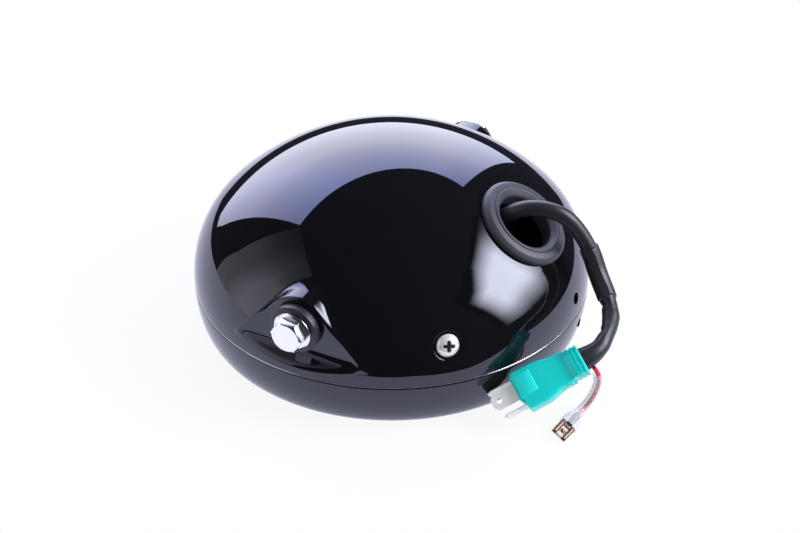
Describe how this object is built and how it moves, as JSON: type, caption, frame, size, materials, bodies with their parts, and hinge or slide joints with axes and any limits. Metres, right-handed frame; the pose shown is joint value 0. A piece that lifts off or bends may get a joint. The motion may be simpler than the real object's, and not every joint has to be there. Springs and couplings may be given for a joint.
{
  "type": "led headlight",
  "caption": "Round motorbike headlight with a domed steel bowl, trim ring, side mounting bolts and a short cable with a bladed plug, lying on its front rim.",
  "frame": {"origin": "centre of the ring's front rim, on the floor that the lamp lies on", "axes": "+Z along the lamp's axis towards its rear, X along the two side bolts, -Y towards the lamp's underside where the cable leaves"},
  "size_m": [0.2016, 0.2206, 0.0923],
  "materials": {
    "bucket_paint": "gloss black paint",
    "ring_paint": "gloss black paint",
    "grommet_rubber": "satin",
    "bolt_zinc": "bright zinc",
    "spacer_rubber": "matte",
    "nut_steel": "plated",
    "screw_chrome": "bright",
    "tab_steel": "plated",
    "retainer_steel": "satin black",
    "gasket_rubber": "matte",
    "lens_clear": "clear polished",
    "sink_alloy": "black anodised",
    "bezel_black": "gloss",
    "halo_milky": "milky",
    "reflector_bright": "vapour-coated",
    "board_white": "solder mask",
    "emitter_yellow": "phosphor",
    "cover_black": "satin",
    "screw_steel": "plated",
    "gland_black": "satin",
    "cable_black": "satin",
    "sleeve_black": "shrunk, wrinkled",
    "plug_teal": "satin moulded",
    "blade_tin": "tinned",
    "wire_red": "satin",
    "sleeve_clear": "milky clear",
    "terminal_bronze": "dull bronze"
  },
  "bodies": {
    "root": {"bucket_shell": "bucket_paint", "trim_ring": "ring_paint", "cable_grommet": "grommet_rubber", "mount_bolt_left": "bolt_zinc", "mount_bolt_right": "bolt_zinc", "bolt_spacer_left": "spacer_rubber", "bolt_spacer_right": "spacer_rubber", "pad_nut_left": "nut_steel", "pad_nut_right": "nut_steel", "ring_screw_left": "screw_chrome", "ring_screw_right": "screw_chrome", "ring_tab_left": "tab_steel", "ring_tab_right": "tab_steel", "tab_nut_left": "nut_steel", "tab_nut_right": "nut_steel", "ring_hook": "tab_steel", "retaining_ring": "retainer_steel", "lens_gasket": "gasket_rubber", "lens_cover": "lens_clear", "heat_sink_housing": "sink_alloy", "front_bezel": "bezel_black", "halo_light_guide": "halo_milky", "low_beam_reflector": "reflector_bright", "high_beam_reflector": "reflector_bright", "led_board_low": "board_white", "led_board_high": "board_white", "led_emitters": "emitter_yellow", "driver_cover": "cover_black", "driver_screws": "screw_steel", "cable_gland": "gland_black", "lamp_cable": "cable_black", "cable_sleeve": "sleeve_black", "plug_body": "plug_teal", "plug_blade_low": "blade_tin", "plug_blade_high": "blade_tin", "plug_blade_ground": "blade_tin", "feed_wire": "wire_red", "terminal_sleeve": "sleeve_clear", "spade_terminal": "terminal_bronze"}
  },
  "joints": []
}
